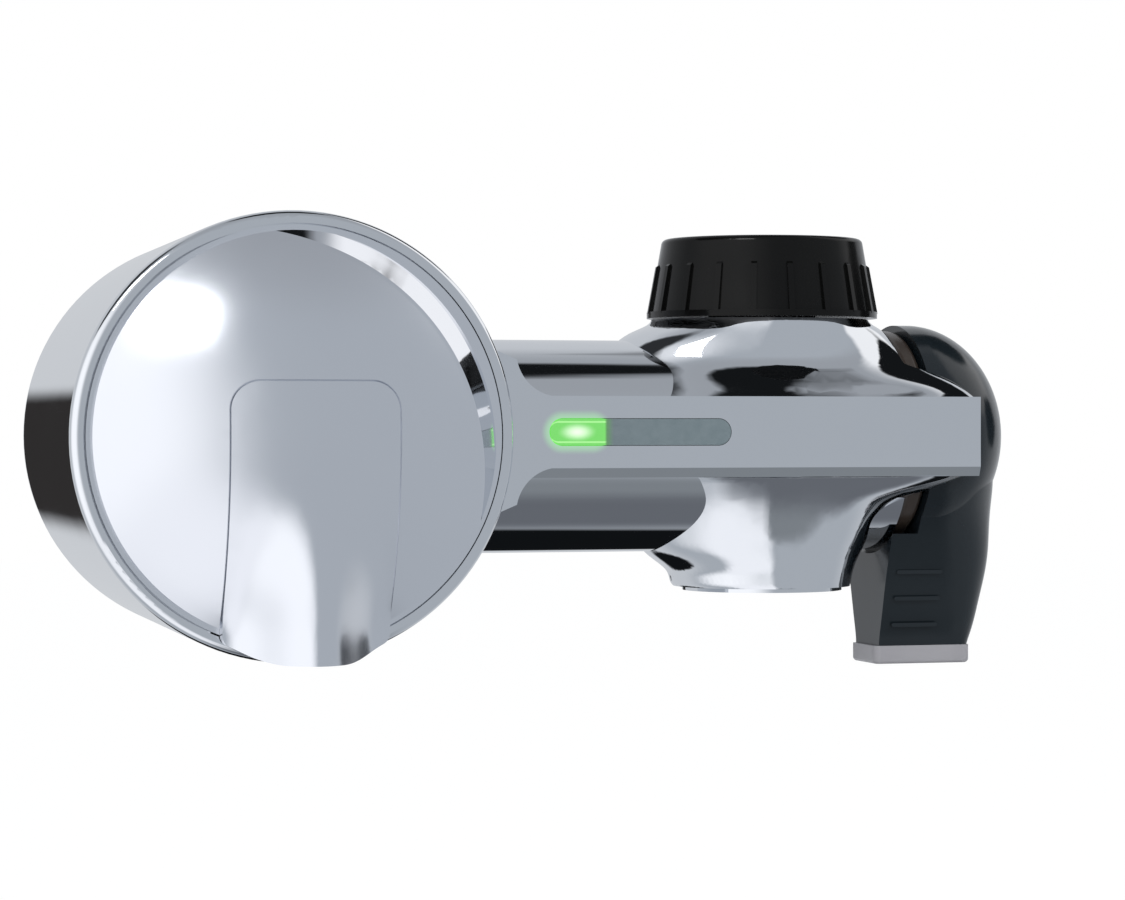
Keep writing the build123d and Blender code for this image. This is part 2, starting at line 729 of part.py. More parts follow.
inner_half = hub_half - hub_wall
inner_r = hub_r - hub_wall
with BuildPart() as lever:
    with BuildSketch(profile_about_x(lever_z)):
        with BuildLine():
            Line((hub_start_x, 0), (hub_start_x, hub_r))
            Line((hub_start_x, hub_r), (hub_round_x, hub_r))
            EllipticalCenterArc((hub_round_x, 0), hub_half, hub_r, start_angle=0, arc_size=90)
            Line((hub_nose_x, 0), (hub_start_x, 0))
        make_face()
    revolve(axis=lever_axis)
    add(handle.part)
    add(ring_about_x(lever_z, 10, hub_start_x, 0, hub_r + 1.2), mode=Mode.SUBTRACT)
    with BuildSketch(across(hub_end_x, 0, lever_z)):
        Circle(hub_r)
    extrude(amount=5, mode=Mode.SUBTRACT)
    with BuildSketch(profile_about_x(lever_z)):
        with BuildLine():
            Line((hub_start_x, 0), (hub_start_x, inner_r))
            Line((hub_start_x, inner_r), (hub_round_x, inner_r))
            EllipticalCenterArc((hub_round_x, 0), inner_half, inner_r, start_angle=0, arc_size=90)
            Line((hub_round_x + inner_half, 0), (hub_start_x, 0))
        make_face()
    revolve(axis=lever_axis, mode=Mode.SUBTRACT)
    add(ring_about_x(lever_z, hub_start_x + 0.6, hub_end_x - 1.5, 0, drive_r + 2.2))
    with BuildSketch(across(hub_start_x, 0, lever_z)):
        Rectangle(drive_square + seat_gap, drive_square + seat_gap)
    extrude(amount=drive_end_x + 0.4 - hub_start_x, mode=Mode.SUBTRACT)
    add(ring_about_x(lever_z, hub_start_x, arm_end_x + 6.2, 0, drive_r + 0.2), mode=Mode.SUBTRACT)
    add(ring_about_x(lever_z, drive_end_x, hub_end_x, 0, 1.8), mode=Mode.SUBTRACT)
    add(ring_about_x(lever_z, hub_end_x - 5.0, hub_end_x + 1, 0, 3.6), mode=Mode.SUBTRACT)
    # Three grip ridges low on the handle's front face
    for ridge in range(3):
        ridge_z = lowest_ridge_z + ridge * ridge_step
        ridge_y = -tip_half - (ridge_z - tip_z) * 0.27
        with BuildSketch(front_on(ridge_y + 1.5, ridge_x, ridge_z)):
            SlotOverall(ridge_length, 0.7)
        extrude(amount=1.5 + 0.45)
save(lever, "lever")

with BuildPart() as lever_screw:
    add(ring_about_x(lever_z, hub_end_x - 5.0, hub_end_x - 2.6, 0, 3.3))
    add(ring_about_x(lever_z, drive_end_x - 8.6, hub_end_x - 5.0, 0, 1.45))
    with BuildSketch(across(hub_end_x - 2.6, 0, lever_z)):
        RegularPolygon(1.5, 6)
    extrude(amount=-1.5, mode=Mode.SUBTRACT)
save(lever_screw, "lever_screw")

with BuildPart() as screw_plug:
    add(ring_about_x(lever_z, hub_end_x - 2.4, hub_end_x, 0, 3.55))
    fillet(screw_plug.edges().group_by(Axis.X)[-1], 0.4)
save(screw_plug, "screw_plug")

with BuildPart() as lever_tip:
    with BuildSketch(Plane.XY.offset(tip_z)):
        with Locations(((tip_start_x + tip_end_x) / 2, 0)):
            RectangleRounded(tip_end_x - tip_start_x, tip_width, 1.4)
    extrude(amount=-tip_height)
    fillet(lever_tip.edges().group_by(Axis.Z)[0], 0.7)
save(lever_tip, "lever_tip")

# Aerator in the outlet
with BuildPart() as aerator_housing:
    with BuildSketch(Plane.XZ):
        with BuildLine():
            Polyline(
                (aerator_bore_r - 1.2, aerator_foot_z),
                (aerator_r + 1.2, aerator_foot_z),
                (aerator_r + 1.2, outlet_z),
                (aerator_r, outlet_z),
                (aerator_r, aerator_top_z),
                (aerator_bore_r, aerator_top_z),
                (aerator_bore_r, aerator_foot_z + 1.0),
                (aerator_bore_r - 1.2, aerator_foot_z + 1.0),
                close=True,
            )
        make_face()
    revolve(axis=Axis.Z)
save(aerator_housing, "aerator_housing")

with BuildPart() as aerator_insert:
    with BuildSketch(Plane.XY.offset(aerator_foot_z + 1.0)):
        Circle(aerator_bore_r - seat_gap)
        Circle(aerator_hole_r, mode=Mode.SUBTRACT)
        for ring, count in ((3.0, 6), (6.0, 12)):
            with PolarLocations(ring, count):
                Circle(aerator_hole_r, mode=Mode.SUBTRACT)
    extrude(amount=1.4)
    with BuildSketch(Plane.XY.offset(aerator_foot_z + 2.4)):
        Circle(aerator_bore_r - seat_gap)
        Circle(aerator_bore_r - 1.2, mode=Mode.SUBTRACT)
    extrude(amount=aerator_top_z - aerator_foot_z - 2.4)
save(aerator_insert, "aerator_insert")

with BuildPart() as aerator_washer:
    with BuildSketch(Plane.XY.offset(aerator_top_z)):
        Circle(aerator_r - seat_gap)
        Circle(port_r + 1.2, mode=Mode.SUBTRACT)
    extrude(amount=0.8)
save(aerator_washer, "aerator_washer")

# Drum housing: a cup that is open in front, with the bayonet ring and the cap seal's land
ring_front_y = lug_front_y - 0.3 - 3.0
ring_back_y = lug_front_y - 0.3
land_front_y = lug_front_y + lug_length + 0.3
land_back_y = cap_skirt_back_y + 0.6
floor_y = drum_back_y - drum_floor
with BuildPart() as drum_housing:
    with BuildSketch(profile_about_y(drum_x, drum_z)):
        with BuildLine():
            Polyline(
                (0, floor_y),
                (stub_r + turn_gap, floor_y),
                (stub_r + turn_gap, floor_y - stub_ring),
                (stub_r + 2, floor_y - stub_ring),
                (stub_r + 2, floor_y),
                (drum_bore_r, floor_y),
                (drum_bore_r, land_back_y),
                (cap_skirt_r + 0.3, land_back_y),
                (cap_skirt_r + 0.3, land_front_y),
                (cap_skirt_r + lug_proud + 0.4, land_front_y),
                (cap_skirt_r + lug_proud + 0.4, ring_back_y),
                (cap_skirt_r + 0.3, ring_back_y),
                (cap_skirt_r + 0.3, ring_front_y),
                (cap_r + turn_gap, ring_front_y),
                (cap_r + turn_gap, drum_front_y),
                (drum_front_r - drum_rim_round, drum_front_y),
            )
            RadiusArc((drum_front_r - drum_rim_round, drum_front_y),
                      (drum_front_r, drum_front_y + drum_rim_round), -drum_rim_round)
            Line((drum_front_r, drum_front_y + drum_rim_round),
                 (drum_back_r, drum_back_y - drum_back_round))
            RadiusArc((drum_back_r, drum_back_y - drum_back_round),
                      (drum_back_r - drum_back_round, drum_back_y), -drum_back_round)
            Polyline((drum_back_r - drum_back_round, drum_back_y), (0, drum_back_y), (0, floor_y))
        make_face()
    revolve(axis=drum_axis)
    # Notches that let the cap's lugs through
    for notch in range(lug_count):
        half = radians(lug_span / 2 + 3)
        middle = radians(90 + notch * 360 / lug_count + lock_turn)
        reach = cap_skirt_r + lug_proud + 0.25
        with BuildSketch(front_on(ring_back_y + 0.5, drum_x, drum_z)):
            with BuildLine():
                a = (reach * cos(middle - half), reach * sin(middle - half))
                b = (reach * cos(middle), reach * sin(middle))
                c = (reach * cos(middle + half), reach * sin(middle + half))
                ThreePointArc(a, b, c)
                Polyline(c, (20 * cos(middle), 20 * sin(middle)), a)
            make_face()
        extrude(amount=ring_back_y - ring_front_y + 1.0, mode=Mode.SUBTRACT)
    # Port for the tube and holes for the two screws
    with BuildSketch(across(drum_x + 15, 0, arm_z)):
        Circle(tube_r + seat_gap)
    extrude(amount=30, mode=Mode.SUBTRACT)
    for side in (-1, 1):
        with BuildSketch(across(drum_x + 15, side * drum_screw_y, arm_z)):
            Circle(1.7)
        extrude(amount=30, mode=Mode.SUBTRACT)
save(drum_housing, "drum_housing")

with BuildPart() as drum_screws:
    seat_x = drum_x + sqrt(drum_bore_r ** 2 - (drum_z - arm_z + 2.3) ** 2)
    for side in (-1, 1):
        add(rod_along(across(seat_x - 1.6, side * drum_screw_y, arm_z), 2.3, 1.6))
        add(rod_along(across(seat_x - 0.5, side * drum_screw_y, arm_z), 1.55, 10.0))
        with BuildSketch(across(seat_x - 1.6, side * drum_screw_y, arm_z)):
            Rectangle(3.0, 0.7)
            Rectangle(0.7, 3.0)
        extrude(amount=0.9, mode=Mode.SUBTRACT)
save(drum_screws, "drum_screws")

# Front cap: flange, skirt with lugs, a dome, and a bevel that is widest at the upper right
flange_front_y = drum_front_y - 0.4
face_y = flange_front_y - face_step
dome_radius = (face_r ** 2 + dome_height ** 2) / (2 * dome_height)
dome_centre_y = face_y - dome_height + dome_radius
panel_x = drum_x + panel_shift
panel_back_y = drum_front_y - 0.5


def dome_solid(extra, reach, back_y):
    """The dome's sphere, grown by extra, out to a reach from the drum's axis and back to back_y."""
    radius = dome_radius + extra
    with BuildPart() as cap:
        with BuildSketch(profile_about_y(drum_x, drum_z)):
            with BuildLine():
                edge = (reach, dome_centre_y - sqrt(radius ** 2 - reach ** 2))
                ThreePointArc(
                    (0, dome_centre_y - radius),
                    (reach / 2, dome_centre_y - sqrt(radius ** 2 - reach ** 2 / 4)),
                    edge,
                )
                Polyline(edge, (reach, back_y), (0, back_y), (0, dome_centre_y - radius))
            make_face()
        revolve(axis=drum_axis)
    return cap.part


def panel_block(gap):
    """The spout panel's outline with a gap around it, straight forward from its back."""
    half = panel_half + gap
    side_z = panel_side_foot_z - gap
    mouth_z = panel_foot_z - gap
    with BuildPart() as block:
        with BuildSketch(front_on(panel_back_y, panel_x)):
            with BuildLine():
                Polyline((half, side_z), (half, panel_top_z + gap), (-half, panel_top_z + gap),
                         (-half, side_z))
                Spline((-half, side_z), (-mouth_half, mouth_z), tangents=((1, -0.4), (1, 0)))
                Line((-mouth_half, mouth_z), (mouth_half, mouth_z))
                Spline((mouth_half, mouth_z), (half, side_z), tangents=((1, 0), (1, 0.4)))
            make_face()
        extrude(amount=2 * dome_height)
        upright = block.edges().filter_by(Axis.Y).group_by(Axis.Z)
        fillet(upright[1], 2.0)
        fillet(block.edges().filter_by(Axis.Y).group_by(Axis.Z)[-1], panel_corner + gap)
    return block.part


flange_back_y = flange_front_y + cap_flange
bevel_x = drum_x + bevel_shift * cos(radians(bevel_turn))
bevel_z = drum_z + bevel_shift * sin(radians(bevel_turn))
with BuildPart() as cap_outside:
    add(dome_solid(0, face_r, flange_front_y + 1))
    with BuildPart(mode=Mode.PRIVATE) as bevel:
        with BuildSketch(front_on(flange_front_y + 1, bevel_x, bevel_z)):
            Circle(bevel_r + 1)
        extrude(amount=dome_height + 3, taper=45)
    add(bevel.part, mode=Mode.INTERSECT)
    add(rod_along(front_on(flange_back_y, drum_x, drum_z), cap_r, cap_flange))
    # Recess for the spout panel
    with BuildPart(mode=Mode.PRIVATE) as recess:
        add(panel_block(panel_gap))
        add(dome_solid(-panel_depth, cap_r + 2, flange_back_y), mode=Mode.SUBTRACT)
    add(recess.part, mode=Mode.SUBTRACT)

skirt_bore_r = cap_skirt_r - cap_skirt_wall
socket_r = spigot_r + 0.6
channel_y = face_y - 0.6
channel_r = 2.6
hole_z = panel_foot_z + 15.0
groove_y = (land_front_y + cap_skirt_back_y) / 2
cap_seal_r = 0.9
with BuildPart() as front_cap:
    add(cap_outside.part)
    add(rod_along(front_on(cap_skirt_back_y, drum_x, drum_z), cap_skirt_r,
                  cap_skirt_back_y - flange_back_y))
    for lug in range(lug_count):
        half = radians(lug_span / 2)
        middle = radians(90 + lug * 360 / lug_count)
        reach = cap_skirt_r + lug_proud
        with BuildSketch(front_on(lug_front_y + lug_length, drum_x, drum_z)):
            with BuildLine():
                start = (reach * cos(middle - half), reach * sin(middle - half))
                end = (reach * cos(middle + half), reach * sin(middle + half))
                ThreePointArc(start, (reach * cos(middle), reach * sin(middle)), end)
                Polyline(end, (25 * cos(middle), 25 * sin(middle)), start)
            make_face()
        extrude(amount=lug_length)
    with BuildSketch(front_on(groove_y + cap_seal_r + seat_gap, drum_x, drum_z)):
        Circle(cap_skirt_r + 1)
        Circle(cap_skirt_r + turn_gap - 2 * cap_seal_r - seat_gap, mode=Mode.SUBTRACT)
    extrude(amount=2 * cap_seal_r + 2 * seat_gap, mode=Mode.SUBTRACT)
    # Hollow behind the dome
    add(rod_along(front_on(cap_skirt_back_y + 1, drum_x, drum_z), skirt_bore_r,
                  cap_skirt_back_y + 1 - flange_front_y), mode=Mode.SUBTRACT)
    add(dome_solid(-dome_wall, skirt_bore_r - 2.4, flange_front_y + 4), mode=Mode.SUBTRACT)
    # Socket for the cartridge's spigot and the channel down to the spout
    with BuildPart(mode=Mode.PRIVATE) as waterway:
        add(rod_along(front_on(cap_skirt_back_y - 1.0, drum_x, drum_z), socket_r + 2.0, 40))
        with BuildSketch(Plane.XY.offset(drum_z)):
            with Locations((panel_x, channel_y)):
                Circle(channel_r + 1.7)
        extrude(amount=hole_z - channel_r - 1.7 - drum_z)
        add(cap_outside.part, mode=Mode.INTERSECT)
        add(rod_along(front_on(cap_skirt_back_y - 1.0, drum_x, drum_z), socket_r + 2.0,
                      cap_skirt_back_y - 1.0 - flange_back_y))
    add(waterway.part)
    add(rod_along(front_on(cap_skirt_back_y, drum_x, drum_z), socket_r,
                  cap_skirt_back_y - channel_y), mode=Mode.SUBTRACT)
    with BuildSketch(Plane.XY.offset(drum_z)):
        with Locations((panel_x, channel_y)):
            Circle(channel_r)
    extrude(amount=hole_z - drum_z, mode=Mode.SUBTRACT)
    add(rod_along(front_on(channel_y, panel_x, hole_z), channel_r - 0.2, 20), mode=Mode.SUBTRACT)
save(front_cap, "front_cap")

with BuildPart() as cap_seal:
    with BuildSketch(profile_about_y(drum_x, drum_z)):
        with Locations((cap_skirt_r + turn_gap - 0.03 - cap_seal_r, groove_y)):
            Circle(cap_seal_r)
    revolve(axis=drum_axis)
save(cap_seal, "cap_seal")

# Spout panel: let into the dome, with one smooth front that swells into the spout at its foot
panel_lip_y = panel_back_y - panel_lip
passage_r = 2.2
passage_y = spout_y - 0.4


def panel_level(z, height, half):
    """One level of the panel's front: the dome's curve, no lower than the lip, and the ridge's
    smooth hump of a given height and half width on it."""
    points = []
    for place in range(-8, 9):
        x = panel_x + place / 8 * (panel_half + 1)
        skin = dome_centre_y - sqrt((dome_radius + panel_proud) ** 2
                                    - (z - drum_z) ** 2 - (x - drum_x) ** 2)
        base = panel_lip_y - 0.8 * log(1 + exp((panel_lip_y - skin) / 0.8))
        side = min(abs(x - panel_x) / half, 1.0)
        points.append(Vector(x, base - height * cos(pi / 2 * side) ** 2))
    with BuildSketch(Plane.XY.offset(z)) as level:
        with BuildLine():
            add(Edge.make_spline(points, parameters=[place / 16 for place in range(17)]))
            Polyline(points[-1], (points[-1].X, drum_front_y), (points[0].X, drum_front_y),
                     points[0])
        make_face()
    return level.sketch


with BuildPart() as spout_panel:
    loft(sections=[
        panel_level(panel_top_z + 2.0, 0, 10.0),
        panel_level(panel_top_z - 5.0, 0, 10.0),
        panel_level(panel_foot_z + 34.5, 0, 10.0),
        panel_level(panel_foot_z + 29.5, 0.1, 10.5),
        panel_level(panel_foot_z + 25.5, 0.8, 11.0),
        panel_level(panel_foot_z + 21.5, 2.4, 11.4),
        panel_level(panel_foot_z + 16.5, 4.8, 12.0),
        panel_level(panel_foot_z + 11.5, 7.2, 12.6),
        panel_level(panel_foot_z + 6.5, 9.2, 13.0),
        panel_level(panel_foot_z + 2.5, 10.2, 13.2),
        panel_level(panel_foot_z - 2.0, 10.4, 13.4),
    ])
    add(panel_block(0), mode=Mode.INTERSECT)
    add(cap_outside.part, mode=Mode.SUBTRACT)
    add(rod_along(Plane(origin=(panel_x, spout_y, panel_foot_z)), spout_r, spout_length),
        mode=Mode.SUBTRACT)
    add(rod_along(Plane(origin=(panel_x, passage_y, panel_foot_z + 1)), passage_r,
                  hole_z + channel_r - 0.2 - panel_foot_z - 1), mode=Mode.SUBTRACT)
    add(rod_along(front_on(channel_y, panel_x, hole_z), channel_r - 0.2, channel_y - passage_y),
        mode=Mode.SUBTRACT)
save(spout_panel, "spout_panel")

# Cartridge: slotted shell, lid with a spigot, pleated wrap, carbon block and its core
lid_thickness = 2.0
shell_front_y = cartridge_front_y + lid_thickness
shell_back_y = floor_y - stub_ring - 0.3
with BuildPart() as cartridge_shell:
    with BuildSketch(profile_about_y(drum_x, drum_z)):
        with BuildLine():
            Polyline(
                (0, shell_back_y - cartridge_wall),
                (cartridge_r - cartridge_wall, shell_back_y - cartridge_wall),
                (cartridge_r - cartridge_wall, shell_front_y),
                (cartridge_r, shell_front_y),
                (cartridge_r, shell_back_y - 2.0),
                (cartridge_r - 2.0, shell_back_y),
                (stub_r, shell_back_y),
                (stub_r, floor_y - 0.3),
                (0, floor_y - 0.3),
                close=True,
            )
        make_face()
    revolve(axis=drum_axis)
    for slot in range(10):
        turned = radians(36 * slot)
        hand = Plane(origin=(drum_x, (shell_front_y + shell_back_y) / 2, drum_z), x_dir=(0, 1, 0),
                     z_dir=(cos(turned), 0, sin(turned)))
        with BuildSketch(hand.offset(cartridge_r - cartridge_wall - 1)):
            SlotOverall(30, 5)
        extrude(amount=4, mode=Mode.SUBTRACT)
save(cartridge_shell, "cartridge_shell")

spigot_seal_r = 0.8
spigot_groove_y = spigot_front_y + 3.0
with BuildPart() as cartridge_lid:
    with BuildSketch(profile_about_y(drum_x, drum_z)):
        with BuildLine():
            groove_floor = socket_r - 0.05 - 2 * spigot_seal_r - 0.05
            Polyline(
                (spigot_bore_r, shell_front_y),
                (spigot_bore_r, spigot_front_y),
                (spigot_r - 0.6, spigot_front_y),
                (spigot_r, spigot_front_y + 0.6),
                (spigot_r, spigot_groove_y - spigot_seal_r - 0.1),
                (groove_floor, spigot_groove_y - spigot_seal_r - 0.1),
                (groove_floor, spigot_groove_y + spigot_seal_r + 0.1),
                (spigot_r, spigot_groove_y + spigot_seal_r + 0.1),
                (spigot_r, cartridge_front_y),
                (cartridge_r, cartridge_front_y),
                (cartridge_r, shell_front_y),
                close=True,
            )
        make_face()
    revolve(axis=drum_axis)
save(cartridge_lid, "cartridge_lid")

with BuildPart() as spigot_seal:
    with BuildSketch(profile_about_y(drum_x, drum_z)):
        with Locations((socket_r - 0.05 - spigot_seal_r, spigot_groove_y)):
            Circle(spigot_seal_r)
    revolve(axis=drum_axis)
save(spigot_seal, "spigot_seal")

media_front_y = shell_front_y
media_back_y = shell_back_y - cartridge_wall
with BuildPart() as carbon_block:
    with BuildSketch(front_on(media_back_y - 0.2, drum_x, drum_z)):
        Circle(carbon_r)
        Circle(carbon_bore_r, mode=Mode.SUBTRACT)
    extrude(amount=media_back_y - media_front_y - 0.4)
save(carbon_block, "carbon_block")

with BuildPart() as filter_core:
    with BuildSketch(front_on(media_back_y, drum_x, drum_z)):
        Circle(carbon_bore_r - seat_gap)
        Circle(carbon_bore_r - seat_gap - core_wall, mode=Mode.SUBTRACT)
    extrude(amount=media_back_y - media_front_y)
    for level in range(4):
        for turned in (0, 90):
            hole_y = media_front_y + (level + 0.5) * (media_back_y - media_front_y) / 4
            across_core = Plane(origin=(drum_x, hole_y, drum_z), x_dir=(0, 1, 0),
                                z_dir=(cos(radians(turned)), 0, sin(radians(turned))))
            with BuildSketch(across_core):
                Circle(1.8)
            extrude(amount=12, both=True, mode=Mode.SUBTRACT)
save(filter_core, "filter_core")

with BuildPart() as pleated_wrap:
    outer_r = cartridge_r - cartridge_wall - 0.3
    inner_r_wrap = outer_r - pleat_depth
    sheet = 0.6

    def pleats(top, root):
        """A closed zigzag between two radii, one fold to each pleat."""
        points = []
        for fold in range(2 * pleat_count):
            reach_here = top if fold % 2 == 0 else root
            points.append((reach_here * cos(pi * fold / pleat_count),
                           reach_here * sin(pi * fold / pleat_count)))
        return points

    with BuildSketch(front_on(media_back_y - 0.2, drum_x, drum_z)):
        with BuildLine():
            Polyline(*pleats(outer_r, inner_r_wrap + sheet), close=True)
        make_face()
        with BuildLine():
            Polyline(*pleats(outer_r - sheet, inner_r_wrap), close=True)
        make_face(mode=Mode.SUBTRACT)
    extrude(amount=media_back_y - media_front_y - 0.4)
save(pleated_wrap, "pleated_wrap")
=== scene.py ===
"""Looks for the faucet mount water filter: finishes, lights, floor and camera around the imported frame."""

from math import cos, pi, radians, sin

import bmesh
import bpy
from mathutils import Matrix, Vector


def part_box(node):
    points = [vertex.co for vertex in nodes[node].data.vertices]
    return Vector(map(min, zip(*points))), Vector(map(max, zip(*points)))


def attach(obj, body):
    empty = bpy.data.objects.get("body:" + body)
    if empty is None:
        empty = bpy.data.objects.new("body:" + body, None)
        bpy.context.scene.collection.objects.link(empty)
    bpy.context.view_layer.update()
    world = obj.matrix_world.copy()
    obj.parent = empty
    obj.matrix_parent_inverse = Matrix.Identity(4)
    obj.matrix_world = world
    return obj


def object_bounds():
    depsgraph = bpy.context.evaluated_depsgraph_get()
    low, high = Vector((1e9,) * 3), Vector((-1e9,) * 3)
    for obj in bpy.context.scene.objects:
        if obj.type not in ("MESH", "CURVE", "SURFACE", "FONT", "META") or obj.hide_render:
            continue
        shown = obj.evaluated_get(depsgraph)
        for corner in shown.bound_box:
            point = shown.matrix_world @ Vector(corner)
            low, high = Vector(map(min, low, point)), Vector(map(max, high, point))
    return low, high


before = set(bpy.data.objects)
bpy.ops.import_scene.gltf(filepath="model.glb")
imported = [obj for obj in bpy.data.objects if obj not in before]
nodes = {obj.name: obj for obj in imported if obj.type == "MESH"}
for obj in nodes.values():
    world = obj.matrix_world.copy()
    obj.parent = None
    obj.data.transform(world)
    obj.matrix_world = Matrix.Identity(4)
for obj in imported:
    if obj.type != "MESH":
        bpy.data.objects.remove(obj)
cad_low, cad_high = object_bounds()
MM = 0.001

# Camera, from the photograph's perspective
EYE = Vector((-0.2069, -0.5753, -0.0242))
AIM = Vector((-0.0365, 0.0, -0.0242))
PHOTO_WIDTH = 1125
FOCAL_PX = 3473
SENSOR_MM = 36.0
EYE_LEVEL_DROP_PX = -27

# Lamps: the direction they stand in, how far off, their size and power
KEY_WAY, KEY_AWAY = Vector((-0.463, -0.626, 0.630)), 0.9
KEY_SIZE, KEY_WATTS = (0.30, 0.17), 1.5
FILL_WAY, FILL_AWAY = Vector((0.55, -0.70, 0.46)), 1.3
FILL_SIZE, FILL_WATTS = (0.5, 0.5), 5.0

# Floor
FLOOR_DROP = 0.16
FLOOR_SIZE = 9.0
FLOOR_WHITE = 1.06
FLOOR_WHITE_SHARE = 0.90
PAPER_TONES = (0.84, 0.84, 0.84), (0.88, 0.88, 0.88)


def new_tree(material):
    """Clears a material's nodes and returns its tree."""
    material.use_nodes = True
    material.node_tree.nodes.clear()
    return material.node_tree


def add(tree, kind, inputs=None, **settings):
    """Adds a node, sets its properties, and links or sets its inputs."""
    made = tree.nodes.new(kind)
    for key, value in settings.items():
        setattr(made, key, value)
    for key, value in (inputs or {}).items():
        socket = made.inputs[key]
        if isinstance(value, bpy.types.NodeSocket):
            tree.links.new(value, socket)
        else:
            socket.default_value = value
    return made


def maths(tree, operation, first, second=0.0, clamp=False):
    """One arithmetic node's result."""
    return add(tree, "ShaderNodeMath", {0: first, 1: second}, operation=operation,
               use_clamp=clamp).outputs[0]


def smooth(tree, value, start, end, low=0.0, high=1.0):
    """A smooth step of value from start to end."""
    return add(tree, "ShaderNodeMapRange",
               {"Value": value, "From Min": start, "From Max": end, "To Min": low, "To Max": high},
               interpolation_type="SMOOTHSTEP").outputs["Result"]


def blend_colour(tree, share, first, second):
    """A mix of two colours."""
    return add(tree, "ShaderNodeMix", {0: share, 6: first, 7: second}, data_type="RGBA").outputs[2]


def noise(tree, scale, detail=2.0, stretch=(1, 1, 1), roughness=0.5):
    """Noise in the part's own coordinates, in cycles per metre."""
    place = add(tree, "ShaderNodeTexCoord").outputs["Object"]
    spread = add(tree, "ShaderNodeMapping", {"Vector": place, "Scale": stretch}).outputs["Vector"]
    return add(tree, "ShaderNodeTexNoise",
               {"Vector": spread, "Scale": scale, "Detail": detail, "Roughness": roughness}).outputs["Fac"]


def bump(tree, height, strength, distance):
    """A bump normal."""
    return add(tree, "ShaderNodeBump", {"Height": height, "Strength": strength, "Distance": distance}
               ).outputs["Normal"]


def colour(red, green, blue):
    """A colour socket's value."""
    return (red, green, blue, 1.0)


def object_place(tree):
    """The x, y and z of a point in the part's own coordinates."""
    return add(tree, "ShaderNodeSeparateXYZ",
               {"Vector": add(tree, "ShaderNodeTexCoord").outputs["Object"]}).outputs


def distance(tree, across, up):
    """The length of a vector with these two sides."""
    return maths(tree, "SQRT", maths(tree, "ADD", maths(tree, "MULTIPLY", across, across),
                 maths(tree, "MULTIPLY", up, up)))


def principled(material):
    """A finish's principled shader."""
    return next(n for n in material.node_tree.nodes if n.type == "BSDF_PRINCIPLED")


def surface(tree, sockets):
    """The principled shader with these sockets, joined to the output."""
    shader = add(tree, "ShaderNodeBsdfPrincipled", sockets)
    add(tree, "ShaderNodeOutputMaterial", {"Surface": shader.outputs[0]})
    return shader


def moulded(name, dark, light, rough_low, rough_high, grain=900.0, depth=0.00002, extra=None):
    """A moulded plastic or rubber: uneven tone, uneven gloss and a fine skin."""
    material = bpy.data.materials.new(name)
    tree = new_tree(material)
    cloud = noise(tree, 60.0, 3.0)
    skin = noise(tree, grain, 2.0)
    sockets = {
        "Base Color": blend_colour(tree, cloud, colour(*dark), colour(*light)),
        "Roughness": smooth(tree, cloud, 0.3, 0.7, rough_low, rough_high),
        "Normal": bump(tree, skin, 0.35, depth),
    }
    sockets.update(extra or {})
    surface(tree, sockets)
    return material


def plated(name, dark, light, rough_low, rough_high, peel=0.000012):
    """Chrome plate over moulded plastic: a slow orange peel and an uneven haze."""
    material = bpy.data.materials.new(name)
    tree = new_tree(material)
    haze = noise(tree, 45.0, 4.0)
    wave = noise(tree, 130.0, 1.0)
    surface(tree, {
        "Base Color": blend_colour(tree, haze, colour(*dark), colour(*light)),
        "Metallic": 1.0,
        "Roughness": smooth(tree, haze, 0.35, 0.65, rough_low, rough_high),
        "Normal": bump(tree, wave, 0.5, peel),
    })
    return material


def glow_mask(tree, x, z, left, right, middle, half, reach):
    """1 inside the lit part of the window, fading to 0 at reach outside it."""
    centre_x = (left + right) / 2
    over_x = maths(tree, "MAXIMUM", maths(tree, "SUBTRACT", maths(tree, "ABSOLUTE",
                   maths(tree, "SUBTRACT", x, centre_x)), (right - left) / 2 - half), 0.0)
    over_z = maths(tree, "ABSOLUTE", maths(tree, "SUBTRACT", z, middle))
    return smooth(tree, distance(tree, over_x, over_z), half, half + reach, 1.0, 0.0)


# The indicator window: its left end is lit, with a white heart, a painted highlight line along its inner
# edge and a spilt glow
WINDOW_LOW, WINDOW_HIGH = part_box("indicator_lens")
LENS_RIM = 0.001
WINDOW_LEFT = WINDOW_LOW.x + LENS_RIM
WINDOW_MIDDLE = (WINDOW_LOW.z + WINDOW_HIGH.z) / 2
WINDOW_HALF = (WINDOW_HIGH.z - WINDOW_LOW.z) / 2 - LENS_RIM
LIT_LENGTH = 0.0097
LIT_RIGHT = WINDOW_LEFT + LIT_LENGTH
LENS_TINTS = (0.145, 0.19, 0.205), (0.19, 0.235, 0.25)
LENS_SPILT_GREEN = (0.10, 0.36, 0.05)
GLOW_GREEN = (0.09, 0.50, 0.035)
# Colour of the painted highlight line along the lens's inner edge
HIGHLIGHT_LINE_GREEN = (0.55, 0.95, 0.40)
HEART_WHITE = (0.90, 1.0, 0.82)
GLOW_REACH = 0.0016
SPILT_GREEN = (0.10, 0.50, 0.05)
SPILT_LEVEL = 0.55
LIT_LEVEL = 0.9
HEART_X = WINDOW_LEFT + 0.0048
HEART_HALF_LENGTH, HEART_HALF_HEIGHT = 0.0036, 0.0017
# The painted highlight line: its inset from the rim, its width, and how far past the lit part it runs
HIGHLIGHT_INSET, HIGHLIGHT_WIDTH, HIGHLIGHT_PAST_LIT = 0.0006, 0.00025, 0.003


